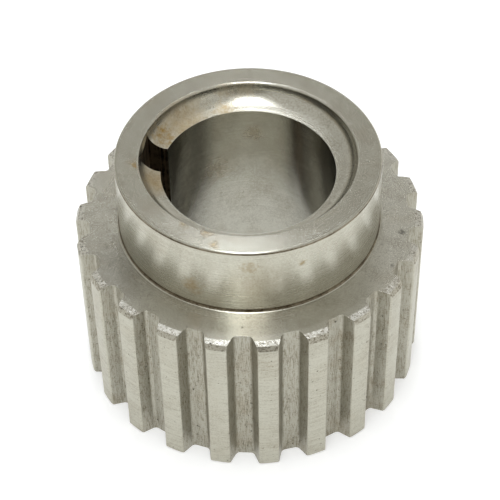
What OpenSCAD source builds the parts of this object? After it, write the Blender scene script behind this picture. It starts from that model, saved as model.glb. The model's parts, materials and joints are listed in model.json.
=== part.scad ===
// Crankshaft sprocket for a toothed timing belt, turned from one piece of steel.
// Z runs along the bore, from the seating face at z = 0 up to the rim of the hub.
// The keyway faces -X and lies under the middle of a tooth space.
// All sizes are in millimetres.

/* [Belt teeth] */
// Number of teeth round the sprocket
tooth_count = 22; // [20:1:30]
// Distance from tooth to tooth, along the belt's pitch line
belt_pitch = 9.525; // [8.5:0.025:12]
// Height of the belt's pitch line above the tooth crests
pitch_line_height = 0.381; // [0.2:0.001:1]
// Length of the teeth along the bore
tooth_length = 34.7; // [15:0.1:60]
// Depth of a tooth space below the crests
tooth_depth = 2.85; // [1.8:0.05:3.5]
// Width of a tooth space at its floor, measured between the sharp corners
space_floor_w = 3.15; // [2.4:0.05:3.6]
// Slope of a flank away from the middle of its tooth space, in degrees
flank_angle = 25; // [12:1:30]
// Fillet between a flank and the floor of its tooth space
root_fillet = 0.85; // [0.3:0.05:1.2]
// Rounding between a flank and the crest
crest_round = 0.5; // [0.1:0.05:0.7]

/* [Tooth ends] */
// Radial width of the shallow bevel on the hub end of the teeth
end_bevel_w = 1.15; // [0.2:0.05:1.6]
// Drop of the shallow bevel along the bore
end_bevel_drop = 0.2; // [0.05:0.05:0.8]
// Radial width of the steep lead-in between that bevel and the crests
lead_w = 0.5; // [0.1:0.05:1]
// Drop of the steep lead-in along the bore
lead_drop = 1.05; // [0.2:0.05:2]
// Edge break at the seating end of the teeth
foot_break = 0.3; // [0.1:0.05:1]

/* [Hub] */
// Outside diameter of the plain hub
hub_d = 49.2; // [46:0.1:53]
// Height of the hub above the toothed end face
hub_h = 15.3; // [6:0.1:30]
// Fillet between the hub and the toothed end face
hub_fillet = 0.5; // [0.2:0.05:1.5]
// Edge break round the outside of the rim
rim_outer_break = 0.5; // [0.1:0.05:1]
// Edge break round the inside of the rim
rim_inner_break = 0.45; // [0.1:0.05:0.8]

/* [Bore and keyway] */
// Diameter of the shaft bore
bore_d = 32.4; // [26:0.1:34]
// Radius of the quarter-round cove turned into the mouth of the bore
cove_r = 3.8; // [2:0.1:4.5]
// Edge break where the bore leaves the seating face
bore_break = 0.5; // [0.1:0.05:1.5]
// Width of the drive key
key_w = 6; // [4:0.1:8]
// Side clearance of the key, both sides together
key_clearance = 0.1; // [0.02:0.01:0.3]
// Depth of the keyway beyond the bore wall
keyway_depth = 3.5; // [1.5:0.1:4]

/* [Hidden] */
$fn = 96;

steel_grey = "#a7a498";

// Overshoot of every cutter past the face that it cuts
overshoot = 1;

crest_r = tooth_count * belt_pitch / (2 * PI) - pitch_line_height;
root_r = crest_r - tooth_depth;
hub_r = hub_d / 2;
bore_r = bore_d / 2;
rim_z = tooth_length + hub_h;
cove_mouth_r = bore_r + cove_r;
tooth_step = 360 / tooth_count;
keyway_w = key_w + key_clearance;
keyway_floor_r = bore_r + keyway_depth;

// Turn that brings a shape drawn on +Y round to the keyway, on -X
keyway_side = 90;

// Flats that stand for a root fillet, a crest rounding and the fillet at the hub
root_flats = 6;
crest_flats = 5;
hub_flats = 6;

// Unit vectors in the plane of a tooth space, whose middle line is +Y: up a flank, and out into its tooth.
up_flank = [sin(flank_angle), cos(flank_angle)];
into_tooth = [cos(flank_angle), -sin(flank_angle)];
floor_corner = [space_floor_w / 2, root_r];

// The root fillet touches the floor and the flank at the same distance from their corner.
root_reach = root_fillet * tan(45 - flank_angle / 2);
root_centre = floor_corner + [-root_reach, root_fillet];

// The crest rounding lies inside the crest circle and touches both it and the flank.
crest_base = floor_corner + crest_round * into_tooth;
crest_along = crest_base * up_flank;
crest_rise = sqrt(pow(crest_along, 2) + pow(crest_r - crest_round, 2) - crest_base * crest_base) - crest_along;
crest_centre = crest_base + crest_rise * up_flank;
crest_side = atan2(crest_centre.y, crest_centre.x);

function arc_points(centre, radius, start, stop, flats) = [
    for (i = [0:flats])
        let (angle = start + (stop - start) * i / flats)
        centre + radius * [cos(angle), sin(angle)]
];

// Outline of the solid of revolution, round from the seating face, without the cove.
function blank_outline() = concat(
    [
        [bore_r, bore_break],
        [bore_r + bore_break, 0],
        [crest_r - foot_break, 0],
        [crest_r, foot_break],
        [crest_r, tooth_length - end_bevel_drop - lead_drop],
        [crest_r - lead_w, tooth_length - end_bevel_drop],
        [crest_r - lead_w - end_bevel_w, tooth_length]
    ],
    arc_points([hub_r, tooth_length] + hub_fillet * [1, 1], hub_fillet, 270, 180, hub_flats),
    [
        [hub_r, rim_z - rim_outer_break],
        [hub_r - rim_outer_break, rim_z],
        [cove_mouth_r + rim_inner_break, rim_z],
        [cove_mouth_r - rim_inner_break, rim_z - 2 * rim_inner_break],
        [bore_r, rim_z - 2 * rim_inner_break]
    ]
);

// Turned blank with the bore and its cove, before the teeth are cut.
module blank() {
    rotate_extrude()
        difference() {
            polygon(blank_outline());
            translate([bore_r, rim_z])
                circle(r = cove_r);
        }
}

// One side of a tooth space, from its floor up and out past the crest circle.
function tooth_space_side() =
    let (
        root = arc_points(root_centre, root_fillet, 270, 360 - flank_angle, root_flats),
        crest = arc_points(crest_centre, crest_round, 180 - flank_angle, crest_side, crest_flats),
        runout = crest[crest_flats] + (crest[crest_flats] - crest[crest_flats - 1]) / 2
    )
    concat(root, crest, [runout, [runout.x, crest_r + overshoot]]);

// Trapezoid between two teeth, with round corners at its floor and at the crests.
module tooth_space() {
    side = tooth_space_side();
    other_side = [for (i = [len(side) - 1:-1:0]) [-side[i].x, side[i].y]];
    translate([0, 0, -overshoot])
        linear_extrude(tooth_length + 2 * overshoot)
            polygon(concat(side, other_side));
}

// Slot broached through the bore wall from end to end, for the drive key.
module keyway() {
    translate([-keyway_floor_r, -keyway_w / 2, -overshoot])
        cube([keyway_floor_r, keyway_w, rim_z + 2 * overshoot]);
}

module crankshaft_sprocket() {
    color(steel_grey)
        difference() {
            blank();
            for (i = [0:tooth_count - 1])
                rotate([0, 0, keyway_side + i * tooth_step])
                    tooth_space();
            keyway();
        }
}

crankshaft_sprocket();
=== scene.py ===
"""Looks of a crankshaft sprocket: turned, hobbed and broached steel on a pale studio floor.

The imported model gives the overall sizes. One detailed mesh of the whole sprocket replaces its plain
solid: it has the same outline, with broken edges, hob marks and burrs added, and one finish for each way
a surface was machined. Sizes are in millimetres until a mesh is scaled to metres at its end.
"""

import json
import logging
import math
from collections.abc import Callable
from dataclasses import dataclass
from enum import Enum, IntEnum

import bmesh
import bpy
from mathutils import Matrix, Vector, noise


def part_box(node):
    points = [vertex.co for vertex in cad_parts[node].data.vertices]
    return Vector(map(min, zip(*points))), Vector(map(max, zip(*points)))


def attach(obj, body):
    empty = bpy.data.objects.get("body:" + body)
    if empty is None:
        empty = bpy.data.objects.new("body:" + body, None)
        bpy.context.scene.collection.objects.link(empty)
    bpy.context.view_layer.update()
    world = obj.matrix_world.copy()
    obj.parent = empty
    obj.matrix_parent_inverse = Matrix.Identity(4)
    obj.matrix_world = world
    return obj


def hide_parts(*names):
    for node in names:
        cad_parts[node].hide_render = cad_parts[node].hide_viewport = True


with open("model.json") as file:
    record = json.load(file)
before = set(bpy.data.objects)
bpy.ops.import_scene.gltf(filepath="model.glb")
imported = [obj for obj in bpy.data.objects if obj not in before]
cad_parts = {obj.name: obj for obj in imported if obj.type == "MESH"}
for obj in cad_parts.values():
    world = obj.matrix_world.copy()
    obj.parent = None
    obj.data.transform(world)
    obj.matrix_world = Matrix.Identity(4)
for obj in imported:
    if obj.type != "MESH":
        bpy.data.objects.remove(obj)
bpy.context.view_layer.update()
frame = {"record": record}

LOG = logging.getLogger("sprocket")
MM = 0.001
NODE = "crankshaft_sprocket"
BODY = "root"
WELD_MM = 0.0005
SNAP_MM = 0.03
MIDDLE_R_MM = 25
WEAR_AND_HIGHLIGHT = "edge_wear_and_highlight"


def linear(hex_colour: str) -> tuple[float, float, float, float]:
    """Turn an sRGB hex colour into linear values.

    Args:
        hex_colour: Colour as "#rrggbb".

    Returns:
        Linear red, green and blue, with an alpha of 1.
    """
    channels = [int(hex_colour[i:i + 2], 16) / 255 for i in (1, 3, 5)]
    bright = [c / 12.92 if c <= 0.04045 else ((c + 0.055) / 1.055) ** 2.4 for c in channels]
    return (*bright, 1.0)


def add_node(
    tree: bpy.types.NodeTree, kind: str, inputs: dict | None = None, **settings: object,
) -> bpy.types.Node:
    """Add one node with its settings and links.

    Args:
        tree: Tree that takes the node.
        kind: Type name of the node.
        inputs: Socket name or number to a value, or to the output socket that feeds it.
        settings: Attributes of the node itself.

    Returns:
        The new node.
    """
    node = tree.nodes.new(kind)
    for name, value in settings.items():
        setattr(node, name, value)
    for key, value in (inputs or {}).items():
        if isinstance(value, bpy.types.NodeSocket):
            tree.links.new(value, node.inputs[key])
        else:
            node.inputs[key].default_value = value
    return node


def mix_colour(
    tree: bpy.types.NodeTree, share: object, first: object, second: object, blend: str = "MIX",
) -> bpy.types.NodeSocket:
    """Mix two colours, each a value or a socket.

    Args:
        tree: Tree that takes the node.
        share: How much of the second colour shows.
        first: First colour.
        second: Second colour.
        blend: How the second colour lies over the first.

    Returns:
        The mixed colour.
    """
    node = add_node(
        tree, "ShaderNodeMix", {0: share, 6: first, 7: second}, data_type="RGBA", blend_type=blend,
    )
    return node.outputs[2]


def polar(radius: float, angle: float, height: float = 0.0) -> Vector:
    """Give the point at a radius and an angle from +Y, counter-clockwise, at a height."""
    return Vector((-radius * math.sin(angle), radius * math.cos(angle), height))


def reach_of(point: Vector) -> float:
    """Give a point's distance from the axis."""
    return math.hypot(point.x, point.y)


def set_reach(vert: bmesh.types.BMVert, radius: float) -> None:
    """Slide a vertex straight out or in to a radius, at its own height."""
    scale = radius / reach_of(vert.co)
    vert.co.x *= scale
    vert.co.y *= scale


def arc(
    centre: tuple[float, float], radius: float, start: float, stop: float, steps: int,
) -> list[tuple[float, float]]:
    """Work out the points of an arc in the plane of radius and height.

    Args:
        centre: Radius and height of the arc's centre.
        radius: Radius of the arc.
        start: First angle, in degrees from outwards towards up.
        stop: Last angle, in degrees.
        steps: Number of flats.

    Returns:
        Radius and height of each point, the first one included.
    """
    turns = [math.radians(start + (stop - start) * i / steps) for i in range(steps + 1)]
    return [(centre[0] + radius * math.cos(t), centre[1] + radius * math.sin(t)) for t in turns]


class Zone(IntEnum):
    """Surfaces of the sprocket by how they were machined, in the order of the material slots."""

    FACED = 0
    HUB = 1
    CREST = 2
    TOOTH_SPACE = 3
    COVE = 4
    BORE = 5
    KEYWAY = 6
    TOOTH_END = 7
    # Painted shade at the hub's foot and on the rim's outer rounding.
    OILY_CORNER = 8
    FLANGE = 9
    LEAD_IN = 10


class Lay(Enum):
    """Direction of the marks that a tool leaves."""

    AROUND = "round the axis, as a lathe tool leaves them"
    ALONG = "along the axis, as a hob or a broach leaves them"


@dataclass(frozen=True)
class ToothForm:
    """Trapezoidal belt teeth on the turned blank, sizes in millimetres and radians."""

    length: float
    count: int = 22
    pitch: float = 9.525
    pitch_line_height: float = 0.381
    depth: float = 2.85
    floor_w: float = 3.15
    flank_angle: float = math.radians(25)
    root_fillet: float = 0.85
    crest_round: float = 0.5
    end_bevel_w: float = 1.15
    end_bevel_drop: float = 0.2
    lead_w: float = 0.5
    lead_drop: float = 1.05
    foot_break: float = 0.3
    face_start_r: float = 25.1
    face_fall: float = 0.2
    face_run: float = 2.4

    @property
    def crest_r(self) -> float:
        """Radius of the crests."""
        return self.count * self.pitch / math.tau - self.pitch_line_height

    @property
    def root_r(self) -> float:
        """Distance from the axis to the flat floor of a tooth space."""
        return self.crest_r - self.depth

    @property
    def lead_r(self) -> float:
        """Radius at which the steep lead-in starts."""
        return self.crest_r - self.lead_w

    @property
    def bevel_r(self) -> float:
        """Radius at which the shallow end bevel starts."""
        return self.lead_r - self.end_bevel_w

    @property
    def step(self) -> float:
        """Angle from tooth to tooth."""
        return math.tau / self.count

    def flank_turn(self, radius: float) -> float:
        """Work out how far the flank at a radius stands from the middle of its tooth space.

        Args:
            radius: Radius of the point on the flank.

        Returns:
            Angle about the axis.
        """
        corner = Vector((self.floor_w / 2, self.root_r))
        up_flank = Vector((math.sin(self.flank_angle), math.cos(self.flank_angle)))
        along = corner.dot(up_flank)
        rise = math.sqrt(along * along - corner.length_squared + radius * radius) - along
        point = corner + rise * up_flank
        return math.atan2(point.x, point.y)

    def half_angle(self, radius: float) -> float:
        """Give half the angle that a tooth takes up at a radius."""
        return self.step / 2 - self.flank_turn(radius)

    def top_z(self, radius: float) -> float:
        """Give the height of the end face beside the hub, at a radius.

        The face falls away a little from the hub, as the cutting edge sprang back on its way out of the
        corner.
        """
        way_out = min(radius, self.bevel_r) - self.face_start_r
        level = self.length - self.face_fall * (1 - math.exp(-way_out / self.face_run))
        if radius <= self.bevel_r:
            return level
        if radius <= self.lead_r:
            return level - self.end_bevel_drop * (radius - self.bevel_r) / self.end_bevel_w
        return level - self.end_bevel_drop - self.lead_drop * (radius - self.lead_r) / self.lead_w

    def foot_z(self, radius: float) -> float:
        """Give the height of the tooth ends at the seating face, at a radius."""
        return max(0.0, radius - self.crest_r + self.foot_break)


@dataclass(frozen=True)
class TurnedForm:
    """Everything that the lathe cut inside the teeth, sizes in millimetres."""

    hub_r: float
    bore_r: float
    shoulder_z: float
    rim_z: float
    hub_fillet: float = 0.5
    corner_band: float = 0.25
    rim_outer_break: float = 0.5
    rim_inner_break: float = 0.45
    cove_r: float = 3.8
    bore_break: float = 0.5
    edge_steps: int = 5
    cove_steps: int = 14
    hub_rows: int = 6
    bore_rows: int = 8

    def cove_start(self) -> float:
        """Work out where the inner break of the rim runs into the cove.

        Returns:
            Angle from outwards down to that point, about the cove's centre, in degrees.
        """
        edge = self.cove_r + self.rim_inner_break
        drop = (edge - math.sqrt(2 * self.cove_r ** 2 - edge ** 2)) / 2
        return math.degrees(math.asin(drop / self.cove_r))

    def stations(self, land_r: float, face_z: Callable[[float], float]) -> list[tuple[float, float, Zone]]:
        """List the rings from the land under the teeth, over the hub and down the bore, to the seating face.

        Args:
            land_r: Radius of the ring that the list starts from and comes back to, inside the tooth spaces.
            face_z: Height of the end face beside the hub, by radius.

        Returns:
            Radius, height and zone of each ring after the first.
        """
        shoulder, rim = self.shoulder_z, self.rim_z
        fillet_centre = (self.hub_r + self.hub_fillet, shoulder + self.hub_fillet)
        hub_top = rim - self.rim_outer_break
        cove_mouth = self.bore_r + self.cove_r
        cove = arc((self.bore_r, rim), self.cove_r, -self.cove_start(), -90, self.cove_steps)
        cove_foot = rim - self.cove_r
        face_w = land_r - fillet_centre[0]
        face = [fillet_centre[0] + share * face_w for share in (0.7, 0.45, 0.2, 0.0)]
        rings = [(r, face_z(r), Zone.FLANGE) for r in face]
        fillet = arc(fillet_centre, self.hub_fillet, 270, 180, self.edge_steps)
        rings += [(r, z, Zone.HUB) for r, z in fillet[1:3]]
        # The lower fillet rings and a thin band above them are painted shade at the hub's foot.
        rings += [(r, z, Zone.OILY_CORNER) for r, z in fillet[3:]]
        wall_foot = fillet_centre[1] + self.corner_band
        rings += [(self.hub_r, wall_foot, Zone.OILY_CORNER)]
        hub_row = (hub_top - wall_foot) / self.hub_rows
        rings += [(self.hub_r, wall_foot + hub_row * (i + 1), Zone.HUB) for i in range(self.hub_rows)]
        edge_centre = (self.hub_r - self.rim_outer_break, hub_top)
        rim_edge = arc(edge_centre, self.rim_outer_break, 0, 90, self.edge_steps)
        # The steep outer part of the rim's rounding is painted shade too.
        rings += [(r, z, Zone.OILY_CORNER) for r, z in rim_edge[1:3]]
        rings += [(r, z, Zone.HUB) for r, z in rim_edge[3:]]
        rings += [((self.hub_r + cove_mouth) / 2, rim, Zone.FACED)]
        edge_centre = (cove_mouth + self.rim_inner_break, rim - self.rim_inner_break)
        mouth_edge = arc(edge_centre, self.rim_inner_break, 90, 175, self.edge_steps)
        rings += [(*mouth_edge[0], Zone.FACED)]
        rings += [(r, z, Zone.COVE) for r, z in mouth_edge[1:] + cove]
        bore_row = (self.bore_break - cove_foot) / self.bore_rows
        rings += [(self.bore_r, cove_foot + bore_row * (i + 1), Zone.BORE) for i in range(self.bore_rows)]
        rings += [(self.bore_r + self.bore_break, 0.0, Zone.BORE)]
        rings += [((self.bore_r + land_r) / 2, 0.0, Zone.FACED)]
        rings += [(land_r, 0.0, Zone.FACED)]
        return rings


@dataclass(frozen=True)
class KeywayForm:
    """Slot broached through the bore wall on the -X side, sizes in millimetres."""

    floor_x: float = -19.7
    width: float = 6.1
    search_r: float = 22.0
    search_slack: float = 3.0
    rim_slack: float = 0.1


@dataclass
class SprocketBody:
    """The whole sprocket as one closed mesh, with its edges broken and its surfaces sorted by finish."""

    teeth: ToothForm
    turned: TurnedForm
    keyway: KeywayForm
    reach_limit: float
    name: str = "sprocket_body"
    land_r: float = 29.6
    land_slack: float = 0.2
    root_segments: int = 6
    crest_segments: int = 5
    crest_cuts: int = 3
    crest_slack: float = 0.02
    wall_rows: int = 26
    edge_angle: float = math.radians(20)
    edge_break: float = 0.1
    wobble: float = 0.06
    wobble_grain: tuple[float, float, float] = (0.9, 0.9, 0.16)
    finer_grain: tuple[float, float, float] = (1.1, 1.1, 0.45)
    finer_start: tuple[float, float, float] = (9.0, 4.0, 2.0)
    burr: float = 0.06
    burr_grain: float = 3.1
    burr_band: float = 2.0
    sideways_limit: float = 0.05

    def build(self) -> bpy.types.Object:
        """Make the mesh object.

        Returns:
            The sprocket, in metres, at the origin.
        """
        bm = bmesh.new()
        self._draw_tooth_end(bm)
        self._repeat_teeth(bm)
        self._raise_walls(bm)
        self._turn_inside(bm)
        self._broach_keyway(bm)
        bmesh.ops.recalc_face_normals(bm, faces=bm.faces)
        self._break_edges(bm)
        self._rough_up(bm)
        bmesh.ops.scale(bm, vec=Vector((MM, MM, MM)), verts=bm.verts)
        for face in bm.faces:
            face.smooth = True
        mesh = bpy.data.meshes.new(self.name)
        bm.to_mesh(mesh)
        bm.free()
        self._set_normals(mesh)
        piece = bpy.data.objects.new(self.name, mesh)
        bpy.context.scene.collection.objects.link(piece)
        return piece

    def _draw_tooth_end(self, bm: bmesh.types.BMesh) -> None:
        """Draw the end of one tooth and of half a tooth space on each side, flat, with the tooth on +Y.

        Args:
            bm: Empty mesh that takes the sheet.
        """
        form = self.teeth
        half = form.step / 2
        corner_r = math.hypot(form.floor_w / 2, form.root_r)
        crest_turn = form.flank_turn(form.crest_r)
        line = [
            polar(form.root_r, half),
            polar(corner_r, half - math.atan2(form.floor_w / 2, form.root_r)),
            polar(form.crest_r, half - crest_turn),
            polar(form.crest_r, 0.0),
        ]
        verts = [bm.verts.new(point) for point in line]
        for here, there in zip(verts, verts[1:]):
            bm.edges.new((here, there))
        root_turn = math.pi / 2 - form.flank_angle
        tip_turn = math.pi / 2 - (form.flank_angle - crest_turn)
        for vert, radius, turn, segments in (
            (verts[1], form.root_fillet, root_turn, self.root_segments),
            (verts[2], form.crest_round, tip_turn, self.crest_segments),
        ):
            bmesh.ops.bevel(
                bm, geom=[vert], offset=radius * math.tan(turn / 2), offset_type="OFFSET", affect="VERTICES",
                segments=segments, profile=0.5, material=-1,
            )
        bmesh.ops.mirror(
            bm, geom=bm.verts[:] + bm.edges[:], matrix=Matrix.Identity(4), axis="X", merge_dist=WELD_MM,
        )

        fillet_end = (form.root_r + form.lead_r) / 2
        flanks = [
            e for e in bm.edges
            if abs(reach_of(e.verts[0].co) - reach_of(e.verts[1].co)) > form.depth / 3
        ]
        bmesh.ops.delete(bm, geom=flanks, context="EDGES_FACES")
        near_crest = form.crest_r - self.crest_slack
        chords = [
            e for e in bm.edges
            if all(reach_of(v.co) > near_crest for v in e.verts) and e.calc_length() > form.crest_round
        ]
        bmesh.ops.subdivide_edges(bm, edges=chords, cuts=self.crest_cuts)
        for vert in bm.verts:
            if reach_of(vert.co) > near_crest:
                set_reach(vert, form.crest_r)

        foot_verts = [v for v in bm.verts if reach_of(v.co) < fillet_end]
        fillet_top = max(foot_verts, key=lambda v: reach_of(v.co))
        fillet_r = reach_of(fillet_top.co)
        row = [e for e in bm.edges if all(reach_of(v.co) > fillet_end for v in e.verts)]
        rows = (
            (form.lead_r, form.half_angle(form.lead_r)),
            (form.bevel_r, form.half_angle(form.bevel_r)),
            (fillet_r, abs(math.atan2(fillet_top.co.x, fillet_top.co.y))),
        )
        for radius, angle in rows:
            row, verts = self._extrude_row(bm, row)
            verts.sort(key=lambda v: math.atan2(v.co.x, v.co.y))
            for i, vert in enumerate(verts):
                vert.co = polar(radius, angle * (1 - 2 * i / (len(verts) - 1)))
        inner = [e for e in bm.edges if not e.link_faces] + row
        _, verts = self._extrude_row(bm, inner)
        for vert in verts:
            set_reach(vert, self.land_r)
        bmesh.ops.remove_doubles(bm, verts=bm.verts, dist=WELD_MM)
        for face in bm.faces:
            outermost = max(reach_of(v.co) for v in face.verts) - WELD_MM
            face.material_index = Zone.FLANGE
            if outermost > form.lead_r:
                face.material_index = Zone.LEAD_IN
            elif outermost > form.bevel_r:
                face.material_index = Zone.TOOTH_END

    @staticmethod
    def _extrude_row(
        bm: bmesh.types.BMesh, edges: list[bmesh.types.BMEdge],
    ) -> tuple[list[bmesh.types.BMEdge], list[bmesh.types.BMVert]]:
        """Extrude a chain of edges once.

        Args:
            bm: Mesh that holds the chain.
            edges: Edges of the chain.

        Returns:
            The edges and the vertices of the new chain.
        """
        made = bmesh.ops.extrude_edge_only(bm, edges=edges)["geom"]
        verts = [g for g in made if isinstance(g, bmesh.types.BMVert)]
        fresh = set(verts)
        chain = [g for g in made if isinstance(g, bmesh.types.BMEdge) and all(v in fresh for v in g.verts)]
        return chain, verts

    def _repeat_teeth(self, bm: bmesh.types.BMesh) -> None:
        """Spin copies of the one tooth round the axis, with a tooth space over the middle of the keyway."""
        form = self.teeth
        first = math.pi / 2 + form.step / 2
        bmesh.ops.rotate(bm, verts=bm.verts, cent=(0, 0, 0), matrix=Matrix.Rotation(first, 3, "Z"))
        bmesh.ops.spin(
            bm, geom=bm.verts[:] + bm.edges[:] + bm.faces[:], cent=(0, 0, 0), axis=(0, 0, 1),
            angle=form.step * (form.count - 1), steps=form.count - 1, use_duplicate=True,
        )
        bmesh.ops.remove_doubles(bm, verts=bm.verts, dist=WELD_MM)

    def _raise_walls(self, bm: bmesh.types.BMesh) -> None:
        """Copy the sheet of tooth ends to both ends and join the copies with the walls of the teeth.

        Args:
            bm: Mesh that holds the flat sheet.
        """
        form = self.teeth
        sheet = bm.verts[:] + bm.edges[:] + bm.faces[:]
        past_land = self.land_r + self.land_slack
        outline = [e for e in bm.edges if e.is_boundary and all(reach_of(v.co) > past_land for v in e.verts)]
        copied = bmesh.ops.duplicate(bm, geom=sheet)["geom"]
        foot = [g for g in copied if isinstance(g, bmesh.types.BMVert)]
        made = bmesh.ops.extrude_edge_only(bm, edges=outline)["geom"]
        foot += [g for g in made if isinstance(g, bmesh.types.BMVert)]
        walls = [g for g in made if isinstance(g, bmesh.types.BMFace)]
        for vert in sheet:
            if isinstance(vert, bmesh.types.BMVert):
                vert.co.z = form.top_z(reach_of(vert.co))
        for vert in foot:
            vert.co.z = form.foot_z(reach_of(vert.co))
        rounding_r = form.crest_r - form.crest_round / 2
        for face in walls:
            on_crest = all(reach_of(v.co) > rounding_r for v in face.verts)
            face.material_index = Zone.CREST if on_crest else Zone.TOOTH_SPACE
        uprights = [
            e for f in walls for e in f.edges if abs(e.verts[0].co.z - e.verts[1].co.z) > form.length / 2
        ]
        bmesh.ops.subdivide_edges(bm, edges=list(set(uprights)), cuts=self.wall_rows, use_grid_fill=True)
        bmesh.ops.remove_doubles(bm, verts=bm.verts, dist=WELD_MM)

    def _turn_inside(self, bm: bmesh.types.BMesh) -> None:
        """Extrude the inner ring over the hub and down the bore, back to the seating face.

        Args:
            bm: Mesh that holds the toothed walls and both sheets.
        """
        level = self.teeth.length
        ring = [e for e in bm.edges if e.is_boundary and all(v.co.z > level - 1 for v in e.verts)]
        for radius, height, zone in self.turned.stations(self.land_r, self.teeth.top_z):
            made = bmesh.ops.extrude_edge_only(bm, edges=ring)["geom"]
            verts = [g for g in made if isinstance(g, bmesh.types.BMVert)]
            for vert in verts:
                set_reach(vert, radius)
                vert.co.z = height
            fresh = set(verts)
            ring = [g for g in made if isinstance(g, bmesh.types.BMEdge) and all(v in fresh for v in g.verts)]
            for face in made:
                if isinstance(face, bmesh.types.BMFace):
                    face.material_index = zone
        bmesh.ops.remove_doubles(bm, verts=bm.verts, dist=WELD_MM)

    def _broach_keyway(self, bm: bmesh.types.BMesh) -> None:
        """Cut the keyway out of the bore wall, the cove and the seating face, and close its walls and floor.

        Args:
            bm: Closed mesh without the keyway.
        """
        form = self.keyway
        side = form.width / 2
        planes = (
            (Vector((0, side, 0)), Vector((0, 1, 0))),
            (Vector((0, -side, 0)), Vector((0, 1, 0))),
            (Vector((form.floor_x, 0, 0)), Vector((1, 0, 0))),
        )

        def nearby(slack: float) -> list:
            """List the faces, edges and vertices round the slot, out to some slack past its sides."""
            faces = [
                f for f in bm.faces
                if f.calc_center_median().x < 0 and reach_of(f.calc_center_median()) < form.search_r
                and abs(f.calc_center_median().y) < side + slack
                and f.calc_center_median().z < self.turned.rim_z - form.rim_slack
            ]
            parts = {g for f in faces for g in (*f.edges, *f.verts)}
            return faces + list(parts)

        for point, normal in planes:
            parts = nearby(form.search_slack)
            for vert in parts:
                gap = (vert.co - point).dot(normal) if isinstance(vert, bmesh.types.BMVert) else SNAP_MM
                if abs(gap) < SNAP_MM:
                    vert.co -= gap * normal
            bmesh.ops.bisect_plane(bm, geom=parts, dist=WELD_MM, plane_co=point, plane_no=normal)
        inside = [
            f for f in nearby(0.0)
            if isinstance(f, bmesh.types.BMFace) and f.calc_center_median().x > form.floor_x + WELD_MM
            and abs(f.calc_center_median().y) < side - WELD_MM
        ]
        bmesh.ops.delete(bm, geom=inside, context="FACES")
        rim = [e for e in bm.edges if e.is_boundary]
        ends = {v for e in rim for v in e.verts}
        for sign in (1, -1):
            corner = [
                v for v in ends
                if abs(v.co.x - form.floor_x) < WELD_MM and abs(v.co.y - sign * side) < WELD_MM
            ]
            rim.append(bm.edges.new((min(corner, key=lambda v: v.co.z), max(corner, key=lambda v: v.co.z))))
        for point, normal in planes:
            loop = [e for e in rim if all(abs((v.co - point).dot(normal)) < WELD_MM for v in e.verts)]
            for face in bmesh.ops.edgeloop_fill(bm, edges=loop)["faces"]:
                face.material_index = Zone.KEYWAY

    def _break_edges(self, bm: bmesh.types.BMesh) -> None:
        """Round every machined edge a little and mark the roundings, which the finishes lighten as wear and
        painted highlight.

        Args:
            bm: Closed mesh with sharp edges.
        """
        wear_and_highlight = bm.verts.layers.float.new(WEAR_AND_HIGHLIGHT)
        bevel_r, level = self.teeth.bevel_r, self.teeth.top_z(self.teeth.bevel_r) - WELD_MM
        sharp = [
            e for e in bm.edges
            if e.calc_face_angle() > self.edge_angle
            or all(abs(reach_of(v.co) - bevel_r) < WELD_MM and v.co.z > level for v in e.verts)
        ]
        made = bmesh.ops.bevel(
            bm, geom=sharp, offset=self.edge_break, offset_type="OFFSET", affect="EDGES", segments=2,
            profile=0.5, material=-1, clamp_overlap=True, loop_slide=True,
        )
        fresh = set(made["faces"])
        for vert in made["verts"]:
            if all(f in fresh for f in vert.link_faces):
                vert[wear_and_highlight] = 1.0

    def _rough_up(self, bm: bmesh.types.BMesh) -> None:
        """Let the walls of the tooth spaces wander as a worn hob leaves them, and raise burrs on the ends.

        Args:
            bm: Finished mesh, in millimetres.
        """
        form = self.teeth
        bm.normal_update()
        wear_and_highlight = bm.verts.layers.float[WEAR_AND_HIGHLIGHT]
        moves = []
        for vert in bm.verts:
            radius = reach_of(vert.co)
            if radius < self.land_r + self.land_slack:
                continue
            place = vert.co
            shift = Vector()
            inside = form.foot_break < place.z < form.length - form.end_bevel_drop
            if inside and radius < form.lead_r:
                wander = noise.noise(place * Vector(self.wobble_grain))
                wander += 0.5 * noise.noise(place * Vector(self.finer_grain) + Vector(self.finer_start))
                shift += vert.normal * wander * self.wobble
            if vert[wear_and_highlight] > 0.5 and place.z > form.length - self.burr_band:
                shift += Vector((0, 0, noise.noise(place * self.burr_grain) * self.burr))
            moves.append((vert, shift))
        for vert, shift in moves:
            vert.co += shift
        for vert in bm.verts:
            if reach_of(vert.co) > self.reach_limit:
                set_reach(vert, self.reach_limit)

    def _set_normals(self, mesh: bpy.types.Mesh) -> None:
        """Give each vertex the normal of the true surface, so that wide and narrow facets shade alike.

        Wide faces outweigh the roundings beside them. A face of a turned surface counts after a turn about
        the axis that brings its normal round to the vertex.

        Args:
            mesh: Mesh in metres that takes the normals.
        """
        sums = [Vector() for _ in mesh.vertices]
        for face in mesh.polygons:
            weight = (face.area / MM ** 2) ** 2
            normal, centre = face.normal, face.center
            outward = Vector((centre.x, centre.y, 0)).normalized()
            sideways = normal.y * outward.x - normal.x * outward.y
            turned = reach_of(centre) < self.land_r * MM and abs(sideways) < self.sideways_limit
            level = math.copysign(math.hypot(normal.x, normal.y), normal.dot(outward))
            for index in face.vertices:
                if turned:
                    place = mesh.vertices[index].co
                    here = Vector((place.x, place.y, 0)).normalized() * level + Vector((0, 0, normal.z))
                else:
                    here = normal
                sums[index] += here * weight
        mesh.normals_split_custom_set_from_vertices([total.normalized() for total in sums])


@dataclass(frozen=True)
class StainAndShade:
    """A patch at a point on the surface, sizes in millimetres: rust, dried oil, and in places painted shade.
    """

    place: tuple[float, float, float]
    reach: float
    strength: float
    oiled_and_shaded: bool = False
    tall: bool = False
    raggedness: float = 2.4


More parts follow.
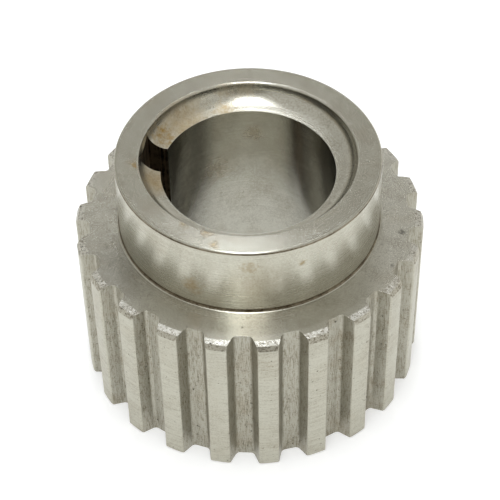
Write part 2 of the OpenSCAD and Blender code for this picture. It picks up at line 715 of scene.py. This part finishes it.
@dataclass(frozen=True)
class SteelFinish:
    """Bare machined steel: tool marks that set the sheen, faint mottling, pits, stains where it rusts, edges
    lightened as wear and painted highlight, and patches of painted shade where listed.
    """

    name: str
    lay: Lay
    steel: str = "#c8c6b9"
    shade: str = "#a39d8e"
    rust: str = "#c49f4e"
    oil_and_shade: str = "#2a241b"
    pit: str = "#4c463a"
    # Colour and share that lighten the edge roundings: partly wear, partly painted highlight.
    worn_and_highlight: str = "#d9d6cc"
    worn_and_highlight_share: float = 0.5
    mottle: float = 0.4
    mottle_mm: float = 4.35
    tint: float = 0.12
    film_mm: float = 9.1
    break_up_mm: float = 1.11
    roughness: float = 0.3
    roughness_swing: float = 0.04
    anisotropy: float = 0.6
    line_mm: float = 0.3
    run_mm: float = 40.0
    line_depth: float = 0.002
    line_contrast: float = 0.06
    pit_mm: float = 0.9
    pit_share: float = 0.3
    pit_level: float = 0.7
    pit_fade: float = 0.1
    pit_depth: float = 0.03
    grain_mm: float = 0.35
    grain_depth: float = 0.004
    grain_contrast: float = 0.25
    stains_and_shade: tuple[StainAndShade, ...] = ()
    patch_onset: float = 0.35
    patch_fade: float = 0.95
    rust_roughness: float = 0.3
    rust_dullness: float = 0.2

    def build(self) -> bpy.types.Material:
        """Make the material.

        Returns:
            The material, with its pattern on Object coordinates.
        """
        material = bpy.data.materials.new(self.name)
        material.use_nodes = True
        tree = material.node_tree
        tree.nodes.clear()
        place = add_node(tree, "ShaderNodeTexCoord").outputs["Object"]
        mm = add_node(tree, "ShaderNodeVectorMath", {0: place, "Scale": 1 / MM}, operation="SCALE").outputs[0]
        lines, across = self._tool_marks(tree, mm)

        mottle = add_node(
            tree, "ShaderNodeTexNoise",
            {"Vector": mm, "Scale": 1 / self.mottle_mm, "Detail": 5.0, "Roughness": 0.62},
        ).outputs["Fac"]
        patches = add_node(
            tree, "ShaderNodeMapRange", {"Value": mottle, 1: 0.38, 2: 0.66, 3: 0.0, 4: self.mottle},
        ).outputs[0]
        line_tone = add_node(
            tree, "ShaderNodeMapRange",
            {"Value": lines, 1: 0.3, 2: 0.7, 3: -self.line_contrast, 4: self.line_contrast},
        ).outputs[0]
        grain = add_node(
            tree, "ShaderNodeTexNoise",
            {"Vector": mm, "Scale": 1 / self.grain_mm, "Detail": 3.0, "Roughness": 0.6},
        ).outputs["Fac"]
        grain_tone = add_node(
            tree, "ShaderNodeMapRange",
            {"Value": grain, 1: 0.35, 2: 0.65, 3: -self.grain_contrast, 4: self.grain_contrast},
        ).outputs[0]
        marks = add_node(tree, "ShaderNodeMath", {0: line_tone, 1: grain_tone}, operation="ADD").outputs[0]
        shade_share = add_node(
            tree, "ShaderNodeMath", {0: patches, 1: marks}, operation="ADD", use_clamp=True,
        ).outputs[0]
        bare = mix_colour(tree, shade_share, linear(self.steel), linear(self.shade))

        film_noise = add_node(
            tree, "ShaderNodeTexNoise",
            {"Vector": mm, "Scale": 1 / self.film_mm, "Detail": 6.0, "Roughness": 0.7},
        ).outputs["Fac"]
        film = add_node(
            tree, "ShaderNodeMapRange", {"Value": film_noise, 1: 0.5, 2: 0.75, 3: 0.0, 4: self.tint},
        ).outputs[0]
        rust = self._patches(tree, mm, film, [s for s in self.stains_and_shade if not s.oiled_and_shaded])
        rusty = mix_colour(tree, rust, bare, linear(self.rust), "MULTIPLY")
        # Oil stains and patches of painted shade share one dark colour.
        oil_and_shade = self._patches(tree, mm, 0.0, [s for s in self.stains_and_shade if s.oiled_and_shaded])
        tinted = mix_colour(tree, oil_and_shade, rusty, linear(self.oil_and_shade))

        pit_noise = add_node(
            tree, "ShaderNodeTexNoise",
            {"Vector": mm, "Scale": 1 / self.pit_mm, "Detail": 2.0, "Roughness": 0.5},
        ).outputs["Fac"]
        pits = add_node(
            tree, "ShaderNodeMapRange",
            {"Value": pit_noise, 1: self.pit_level, 2: self.pit_level + self.pit_fade, 3: 0.0,
             4: self.pit_share},
        ).outputs[0]
        pitted = mix_colour(tree, pits, tinted, linear(self.pit))
        # Edge roundings are lightened: partly wear, partly painted highlight.
        wear_and_highlight = add_node(tree, "ShaderNodeAttribute", attribute_name=WEAR_AND_HIGHLIGHT).outputs["Fac"]
        rubbed_and_highlight = add_node(
            tree, "ShaderNodeMath", {0: wear_and_highlight, 1: self.worn_and_highlight_share}, operation="MULTIPLY", use_clamp=True,
        ).outputs[0]
        edged = mix_colour(tree, rubbed_and_highlight, pitted, linear(self.worn_and_highlight))

        swing = add_node(
            tree, "ShaderNodeMapRange",
            {"Value": lines, 1: 0.3, 2: 0.7, 3: self.roughness - self.roughness_swing,
             4: self.roughness + self.roughness_swing},
        ).outputs[0]
        rough = add_node(
            tree, "ShaderNodeMath", {0: rust, 1: self.rust_roughness, 2: swing}, operation="MULTIPLY_ADD",
            use_clamp=True,
        ).outputs[0]
        metal = add_node(
            tree, "ShaderNodeMath", {0: rust, 1: -self.rust_dullness, 2: 1.0}, operation="MULTIPLY_ADD",
            use_clamp=True,
        ).outputs[0]

        grooves = add_node(
            tree, "ShaderNodeBump", {"Strength": 1.0, "Distance": self.line_depth * MM, "Height": lines},
        ).outputs[0]
        dimples = add_node(
            tree, "ShaderNodeBump",
            {"Strength": 1.0, "Distance": self.grain_depth * MM, "Height": grain, "Normal": grooves},
        ).outputs[0]
        holes = add_node(
            tree, "ShaderNodeBump",
            {"Strength": 1.0, "Distance": -self.pit_depth * MM, "Height": pits, "Normal": dimples},
        ).outputs[0]
        shader = add_node(
            tree, "ShaderNodeBsdfPrincipled",
            {"Base Color": edged, "Metallic": metal, "Roughness": rough, "Anisotropic": self.anisotropy,
             "Normal": holes, "Tangent": across},
        )
        add_node(tree, "ShaderNodeOutputMaterial", {"Surface": shader.outputs[0]})
        return material

    def _tool_marks(
        self, tree: bpy.types.NodeTree, mm: bpy.types.NodeSocket,
    ) -> tuple[bpy.types.NodeSocket, bpy.types.NodeSocket]:
        """Draw the tool marks of this finish.

        Args:
            tree: Tree that takes the nodes.
            mm: Place on the piece in millimetres.

        Returns:
            A value from 0 to 1 that runs in lines, and the direction across those lines.
        """
        flat = add_node(tree, "ShaderNodeVectorMath", {0: mm, 1: (1, 1, 0)}, operation="MULTIPLY").outputs[0]
        outward = add_node(tree, "ShaderNodeVectorMath", {0: flat}, operation="NORMALIZE").outputs[0]
        normal = add_node(tree, "ShaderNodeNewGeometry").outputs["Normal"]
        if self.lay is Lay.AROUND:
            radius = add_node(tree, "ShaderNodeVectorMath", {0: flat}, operation="LENGTH").outputs["Value"]
            height = add_node(tree, "ShaderNodeSeparateXYZ", {0: mm}).outputs["Z"]
            feed = add_node(tree, "ShaderNodeMath", {0: radius, 1: height}, operation="ADD").outputs[0]
            feed = add_node(
                tree, "ShaderNodeMath", {0: feed, 1: 1 / self.line_mm}, operation="MULTIPLY",
            ).outputs[0]
            lift = add_node(tree, "ShaderNodeCombineXYZ", {"Z": feed}).outputs[0]
            drift = MIDDLE_R_MM / self.run_mm
            pattern = add_node(
                tree, "ShaderNodeVectorMath", {0: outward, 1: (drift, drift, 0), 2: lift},
                operation="MULTIPLY_ADD",
            ).outputs[0]
            along = add_node(
                tree, "ShaderNodeVectorMath", {0: (0, 0, 1), 1: outward}, operation="CROSS_PRODUCT",
            ).outputs[0]
        else:
            pattern = add_node(
                tree, "ShaderNodeVectorMath",
                {0: mm, 1: (1 / self.line_mm, 1 / self.line_mm, 1 / self.run_mm)}, operation="MULTIPLY",
            ).outputs[0]
            along = (0, 0, 1)
        across = add_node(
            tree, "ShaderNodeVectorMath", {0: normal, 1: along}, operation="CROSS_PRODUCT",
        ).outputs[0]
        lines = add_node(
            tree, "ShaderNodeTexNoise", {"Vector": pattern, "Scale": 1.0, "Detail": 3.0, "Roughness": 0.6},
        ).outputs["Fac"]
        return lines, across

    def _patches(
        self, tree: bpy.types.NodeTree, mm: bpy.types.NodeSocket, film: object, stains_and_shade: list[StainAndShade],
    ) -> object:
        """Gather ragged stains, and patches of painted shade, over a thin film of the same stuff.

        Args:
            tree: Tree that takes the nodes.
            mm: Place on the piece in millimetres.
            film: Share that lies everywhere.
            stains_and_shade: Patches to gather.

        Returns:
            The share that shows, from 0 to 1.
        """
        if not stains_and_shade:
            return film
        break_up = add_node(
            tree, "ShaderNodeTexNoise",
            {"Vector": mm, "Scale": 1 / self.break_up_mm, "Detail": 6.0, "Roughness": 0.72},
        ).outputs["Fac"]
        flat = add_node(tree, "ShaderNodeVectorMath", {0: mm, 1: (1, 1, 0)}, operation="MULTIPLY").outputs[0]
        total = film
        for stain_and_shade in stains_and_shade:
            far = add_node(
                tree, "ShaderNodeVectorMath", {0: flat if stain_and_shade.tall else mm, 1: stain_and_shade.place},
                operation="DISTANCE",
            ).outputs["Value"]
            near = add_node(
                tree, "ShaderNodeMapRange", {"Value": far, 1: stain_and_shade.reach, 2: 0.0, 3: 0.0, 4: 1.0},
                interpolation_type="SMOOTHSTEP",
            ).outputs[0]
            ragged = add_node(
                tree, "ShaderNodeMath", {0: break_up, 1: stain_and_shade.raggedness, 2: near}, operation="MULTIPLY_ADD",
            ).outputs[0]
            least = self.patch_onset + stain_and_shade.raggedness / 2
            patch = add_node(
                tree, "ShaderNodeMapRange",
                {"Value": ragged, 1: least, 2: least + self.patch_fade, 3: 0.0, 4: stain_and_shade.strength},
                interpolation_type="SMOOTHSTEP",
            ).outputs[0]
            total = add_node(tree, "ShaderNodeMath", {0: total, 1: patch}, operation="MAXIMUM").outputs[0]
        return total


# Real feed marks stand about 0.05 to 0.1 mm apart, which is half a pixel of the render or less, and the
# grain is finer still. So lines and grain are drawn a few times coarser here, just wide enough to show.
FINISHES: dict[Zone, SteelFinish] = {
    # Faced steel: fine rings from the lathe spread a highlight across them, so light gathers in a narrow fan.
    Zone.FACED: SteelFinish(
        name="faced_steel", lay=Lay.AROUND, roughness=0.14, roughness_swing=0.02, anisotropy=0.8,
        grain_mm=0.25, grain_depth=0.017, grain_contrast=0.7,
        stains_and_shade=(
            StainAndShade((-19.8, -5.6, 50.0), 3.0, 0.8), StainAndShade((-7.7, -19.0, 50.0), 2.6, 0.55),
            StainAndShade((-3.5, -20.2, 50.0), 2.8, 0.55), StainAndShade((-1.8, -23.1, 50.0), 2.2, 0.55),
        ),
    ),
    # Coarser faced steel beside the hub: the same fan of light, broader and softer, with a few dark scuffs,
    # and darker towards the left.
    Zone.FLANGE: SteelFinish(
        name="coarse_faced_steel", lay=Lay.AROUND, steel="#d2d0c4", roughness=0.24, roughness_swing=0.03,
        anisotropy=0.65, grain_mm=0.25, grain_depth=0.007, grain_contrast=0.45,
        stains_and_shade=(
            StainAndShade((3.9, -27.9, 34.5), 0.7, 0.9, oiled_and_shaded=True),
            StainAndShade((29.1, 0.2, 34.5), 1.6, 0.7, oiled_and_shaded=True, raggedness=4.0),
            StainAndShade((28.3, -8.4, 34.5), 0.9, 0.5, oiled_and_shaded=True), StainAndShade((25.8, -3.5, 34.6), 0.9, 0.5, oiled_and_shaded=True),
            # The broad last patch darkens the face towards the left.
            StainAndShade((-20.0, -17.0, 34.5), 21.0, 0.4, oiled_and_shaded=True, raggedness=0.6),
        ),
    ),
    # Smooth-turned cylinder: lines round the hub blur what it mirrors up and down, less from side to side.
    Zone.HUB: SteelFinish(
        name="turned_hub_steel", lay=Lay.AROUND, steel="#bfbdaf", roughness=0.27, grain_contrast=0.3,
        line_contrast=0.1,
        stains_and_shade=(
            StainAndShade((4.7, -24.2, 46.2), 4.0, 0.4), StainAndShade((-5.8, -23.9, 39.4), 5.0, 0.6),
            # The two broad patches at (6.5, -23.7, 41.5) darken the hub's lower front: partly its brown
            # stains, partly painted shade over what it mirrors.
            StainAndShade((13.5, -20.6, 45.5), 1.8, 0.8), StainAndShade((6.5, -23.7, 41.5), 14.0, 0.25, raggedness=0.6),
            StainAndShade((6.5, -23.7, 41.5), 14.0, 0.3, oiled_and_shaded=True, raggedness=0.6),
        ),
    ),
    # Outside of the blank, turned before the teeth were cut: pale, with rough-turned rings.
    Zone.CREST: SteelFinish(
        name="turned_crest_steel", lay=Lay.AROUND, steel="#bebcae", roughness=0.4, line_mm=0.2, run_mm=2.5,
        line_depth=0.014, line_contrast=0.5, grain_mm=0.3, grain_depth=0.02, grain_contrast=0.4, pit_mm=0.6,
        pit_share=0.9, pit_level=0.68,
    ),
    # Hobbed steel: short streaks along the teeth and a torn, mottled surface without a clear sheen; its
    # darker steel is partly painted shade between the teeth.
    Zone.TOOTH_SPACE: SteelFinish(
        name="hobbed_steel_painted_shade", lay=Lay.ALONG, steel="#aeab9e", shade="#807a68", roughness=0.42,
        anisotropy=0.3, line_mm=0.18, run_mm=2.0, line_depth=0.02, line_contrast=0.7, tint=0.25,
        grain_mm=0.25, grain_depth=0.02, grain_contrast=0.4, pit_mm=0.6, pit_share=1.0, pit_level=0.66,
    ),
    # Form-turned cove: smoother than the faces round it, with rust creeping in beside the keyway.
    Zone.COVE: SteelFinish(
        name="form_turned_steel", lay=Lay.AROUND, roughness=0.24, grain_contrast=0.3, grain_depth=0.006,
        stains_and_shade=(
            StainAndShade((-17.5, 5.7, 46.9), 6.5, 1.0, raggedness=1.8),
            StainAndShade((-14.0, 10.0, 47.0), 14.0, 0.7, raggedness=0.7),
            StainAndShade((-16.6, -6.0, 46.4), 9.5, 0.8, raggedness=0.7), StainAndShade((-7.5, 14.8, 46.3), 6.0, 0.6),
            StainAndShade((-4.1, 19.4, 48.9), 5.5, 0.4), StainAndShade((-7.8, 18.3, 49.2), 5.0, 0.4),
        ),
    ),
    # Bored steel: an even satin wall with old oil stains, and painted shade darkening it towards both sides.
    Zone.BORE: SteelFinish(
        name="bored_steel", lay=Lay.AROUND, roughness=0.2, line_contrast=0.03, line_depth=0.001,
        stains_and_shade=(
            StainAndShade((-8.9, 13.5, 32.4), 7.5, 0.3), StainAndShade((-2.3, 16.0, 40.5), 5.0, 0.35),
            # These two tall patches are painted shade that darkens the wall towards both sides.
            StainAndShade((14.8, 6.4, 0.0), 24.0, 0.9, oiled_and_shaded=True, tall=True, raggedness=0.3),
            StainAndShade((-16.0, 2.4, 0.0), 23.0, 1.2, oiled_and_shaded=True, tall=True, raggedness=0.3),
        ),
    ),
    # Broached slot: deep straight scratches on steel painted dark brown-black, as painted shade deep in the
    # slot.
    Zone.KEYWAY: SteelFinish(
        name="broached_steel_painted_shade", lay=Lay.ALONG, steel="#8a7a64", shade="#241c12", roughness=0.4, line_mm=0.4,
        run_mm=60.0, mottle=1.0, line_contrast=0.8, line_depth=0.02,
    ),
    # Painted shade: a brown-black tone over turned steel at the hub's foot and on the rim's outer rounding,
    # where shade and dark reflections fall.
    Zone.OILY_CORNER: SteelFinish(
        name="painted_shade_steel", lay=Lay.AROUND, steel="#8d8370", shade="#4a4031", roughness=0.35,
        mottle=1.0, grain_contrast=0.4,
    ),
    # Steep lead-in under the tips: scraped by belts and handling, with speckled scratches; its darker tone is
    # painted shade for the dark that the band mirrors.
    Zone.LEAD_IN: SteelFinish(
        name="scraped_steel_painted_shade", lay=Lay.AROUND, steel="#b3afa1", shade="#6e6758", roughness=0.3, mottle=0.5,
        grain_mm=0.4, grain_depth=0.04, grain_contrast=0.75, pit_mm=0.5, pit_share=0.9, pit_level=0.62,
    ),
    # Ends of the teeth: turned rings torn and smeared by the hob as it came through.
    Zone.TOOTH_END: SteelFinish(
        name="hobbed_end_steel", lay=Lay.AROUND, steel="#e2e0d6", roughness=0.22, grain_mm=0.45,
        grain_depth=0.042, grain_contrast=0.7, pit_mm=0.5, pit_share=1.0, pit_level=0.64,
    ),
}


@dataclass(frozen=True)
class PhotoCamera:
    """Camera matched to the outlines in the photograph, angles in degrees and lengths in millimetres."""

    distance: float = 354.46
    azimuth: float = 11.3525
    elevation: float = 49.637
    tilt: float = 46.907
    roll: float = -1.170
    lens: float = 125.05
    sensor: float = 36.0

    def build(self) -> bpy.types.Object:
        """Make the camera and look through it.

        Returns:
            The camera.
        """
        azimuth, elevation, tilt, roll = (
            math.radians(a) for a in (self.azimuth, self.elevation, self.tilt, self.roll)
        )
        ahead = Vector((-math.sin(azimuth), math.cos(azimuth), 0))
        right = Vector((math.cos(azimuth), math.sin(azimuth), 0))
        up_z = Vector((0, 0, 1))
        place = (up_z * math.sin(elevation) - ahead * math.cos(elevation)) * self.distance * MM
        forward = ahead * math.cos(tilt) - up_z * math.sin(tilt)
        up = ahead * math.sin(tilt) + up_z * math.cos(tilt)
        rolled_right = right * math.cos(roll) + up * math.sin(roll)
        rolled_up = up * math.cos(roll) - right * math.sin(roll)
        turn = Matrix((rolled_right, rolled_up, -forward)).transposed().to_4x4()
        data = bpy.data.cameras.new("photo_camera")
        data.lens = self.lens
        data.sensor_width = self.sensor
        data.sensor_fit = "HORIZONTAL"
        data.clip_start = 0.01
        camera = bpy.data.objects.new("photo_camera", data)
        bpy.context.scene.collection.objects.link(camera)
        camera.matrix_world = Matrix.Translation(place) @ turn
        bpy.context.scene.camera = camera
        return camera


@dataclass
class Studio:
    """Plain pale floor, a pale surround and soft lamps, sizes in metres."""

    floor_size: float = 1.2
    floor_white: str = "#e6e6e4"
    floor_lift: float = 0.34
    horizon_left: str = "#cfcecb"
    horizon_right: str = "#f8f7f4"
    overhead_back: str = "#bfbeba"
    overhead_front: str = "#cfceca"
    surround: float = 1.0
    camera_side: str = "#858277"
    camera_side_level: float = 0.98
    camera_side_up: float = 0.19
    lamp_z: float = 0.8
    lamp_colour: str = "#f3f7ff"

    def build(self) -> None:
        """Make the floor, the surround and the lamps."""
        self._lay_floor()
        self._hang_surround()
        self._add_lamp("front_softbox", width=0.27, front=0.6, back=0.0, side=-0.035, radiance=5.4)
        self._add_lamp("wide_fill", width=1.2, front=-0.05, back=0.42, side=0.0, radiance=0.2)
        self._add_lamp("key_strip", width=0.14, front=0.03, back=0.28, side=-0.015, radiance=11.8)
        self._add_lamp("back_strip", width=0.08, front=-0.28, back=0.44, side=-0.015, radiance=11.5)
        self._add_lamp("low_strip", width=0.04, front=-0.44, back=0.635, side=-0.018, radiance=7.2)

    def _lay_floor(self) -> None:
        """Lay the floor: white to the eye and in reflections, with the sprocket's soft shadow kept."""
        mesh = bpy.data.meshes.new("studio_floor")
        bm = bmesh.new()
        bmesh.ops.create_grid(bm, x_segments=1, y_segments=1, size=self.floor_size / 2)
        bm.to_mesh(mesh)
        bm.free()
        floor = bpy.data.objects.new("studio_floor", mesh)
        bpy.context.scene.collection.objects.link(floor)
        material = bpy.data.materials.new("matt_white_paper")
        material.use_nodes = True
        tree = material.node_tree
        tree.nodes.clear()
        path = add_node(tree, "ShaderNodeLightPath")
        seen = add_node(
            tree, "ShaderNodeMath",
            {0: path.outputs["Is Camera Ray"], 1: path.outputs["Is Glossy Ray"]}, operation="MAXIMUM",
        ).outputs[0]
        seen = add_node(
            tree, "ShaderNodeMath", {0: seen, 1: path.outputs["Is Transmission Ray"]}, operation="MAXIMUM",
        ).outputs[0]
        lift = add_node(
            tree, "ShaderNodeMath", {0: seen, 1: self.floor_lift}, operation="MULTIPLY",
        ).outputs[0]
        paper = add_node(tree, "ShaderNodeBsdfDiffuse", {"Color": linear(self.floor_white)})
        glow = add_node(tree, "ShaderNodeEmission", {"Strength": lift})
        both = add_node(tree, "ShaderNodeAddShader", {0: paper.outputs[0], 1: glow.outputs[0]})
        add_node(tree, "ShaderNodeOutputMaterial", {"Surface": both.outputs[0]})
        mesh.materials.append(material)

    def _hang_surround(self) -> None:
        """Light the scene from all sides.

        It is pale near the horizon, paler to the right than to the left, and greyer overhead. Low on the
        camera's side it is darker, as an unlit room behind the camera is.
        """
        world = bpy.data.worlds.new("studio_surround")
        bpy.context.scene.world = world
        world.use_nodes = True
        tree = world.node_tree
        tree.nodes.clear()
        way = add_node(tree, "ShaderNodeTexCoord").outputs["Generated"]
        up = add_node(tree, "ShaderNodeSeparateXYZ", {0: way}).outputs["Z"]
        azimuth = math.radians(PhotoCamera.azimuth)
        nearer = add_node(
            tree, "ShaderNodeVectorMath", {0: way, 1: (math.sin(azimuth), -math.cos(azimuth), 0)},
            operation="DOT_PRODUCT",
        ).outputs["Value"]
        front = add_node(
            tree, "ShaderNodeMapRange", {"Value": nearer, 1: -0.4, 2: 0.4, 3: 0.0, 4: 1.0},
        ).outputs[0]
        overhead = mix_colour(tree, front, linear(self.overhead_back), linear(self.overhead_front))
        sideways = add_node(
            tree, "ShaderNodeVectorMath", {0: way, 1: (math.cos(azimuth), math.sin(azimuth), 0)},
            operation="DOT_PRODUCT",
        ).outputs["Value"]
        right = add_node(
            tree, "ShaderNodeMapRange", {"Value": sideways, 1: -0.8, 2: 0.8, 3: 0.0, 4: 1.0},
        ).outputs[0]
        horizon = mix_colour(tree, right, linear(self.horizon_left), linear(self.horizon_right))
        share = add_node(
            tree, "ShaderNodeMapRange", {"Value": up, 1: 0.05, 2: 0.5, 3: 0.0, 4: 1.0},
        ).outputs[0]
        even = mix_colour(tree, share, horizon, overhead)
        level = self.camera_side_level
        dark_way = (math.sin(azimuth) * level, -math.cos(azimuth) * level, self.camera_side_up)
        towards = add_node(
            tree, "ShaderNodeVectorMath", {0: way, 1: dark_way}, operation="DOT_PRODUCT",
        ).outputs["Value"]
        dark = add_node(
            tree, "ShaderNodeMapRange", {"Value": towards, 1: 0.9, 2: 0.98, 3: 0.0, 4: 1.0},
            interpolation_type="SMOOTHSTEP",
        ).outputs[0]
        colour = mix_colour(tree, dark, even, linear(self.camera_side))
        sky = add_node(tree, "ShaderNodeBackground", {"Color": colour, "Strength": self.surround})
        add_node(tree, "ShaderNodeOutputWorld", {"Surface": sky.outputs[0]})

    def _add_lamp(
        self, name: str, width: float, front: float, back: float, side: float, radiance: float,
    ) -> None:
        """Hang one level soft lamp over the sprocket, in line with the camera's view.

        Args:
            name: Name of the lamp.
            width: Its width across the view.
            front: How far it reaches from over the sprocket towards the camera. Less than 0 starts it that
                far behind the sprocket.
            back: How far it reaches from over the sprocket away from the camera.
            side: How far its middle line stands to the right of the view's.
            radiance: Brightness of its face, where white paper in full light has 1.
        """
        lamp = bpy.data.lights.new(name, "AREA")
        lamp.shape = "RECTANGLE"
        lamp.size = width
        lamp.size_y = front + back
        lamp.color = linear(self.lamp_colour)[:3]
        lamp.energy = radiance * math.pi * width * (front + back)
        holder = bpy.data.objects.new(name, lamp)
        bpy.context.scene.collection.objects.link(holder)
        turn = Matrix.Rotation(math.radians(PhotoCamera.azimuth), 4, "Z")
        holder.matrix_world = turn @ Matrix.Translation((side, (back - front) / 2, self.lamp_z))


def mount(name: str) -> dict:
    """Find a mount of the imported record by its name."""
    return next(m for m in frame["record"]["mounts"] if m["name"] == name)


def main() -> None:
    """Build the studio, the camera and the sprocket, and report each one."""
    logging.basicConfig(level=logging.INFO, format="%(name)s: %(message)s")
    bpy.context.scene.view_settings.view_transform = "Standard"
    PhotoCamera().build()
    Studio().build()
    LOG.info("camera, floor, surround and lamps are in place")

    rim_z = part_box(NODE)[1][2] / MM
    shoulder_z = mount("guide_face")["pos_m"][2] / MM
    body = SprocketBody(
        teeth=ToothForm(length=shoulder_z),
        turned=TurnedForm(
            hub_r=mount("hub_journal")["dims"]["r_mm"], bore_r=mount("shaft_bore")["dims"]["r_mm"],
            shoulder_z=shoulder_z, rim_z=rim_z,
        ),
        keyway=KeywayForm(),
        reach_limit=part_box(NODE)[1][1] / MM,
    )
    piece = body.build()
    for zone in Zone:
        piece.data.materials.append(FINISHES[zone].build())
    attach(piece, BODY)
    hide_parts(NODE)
    LOG.info("%s: %d faces, %d finishes", piece.name, len(piece.data.polygons), len(piece.data.materials))


if __name__ == "__main__":
    main()
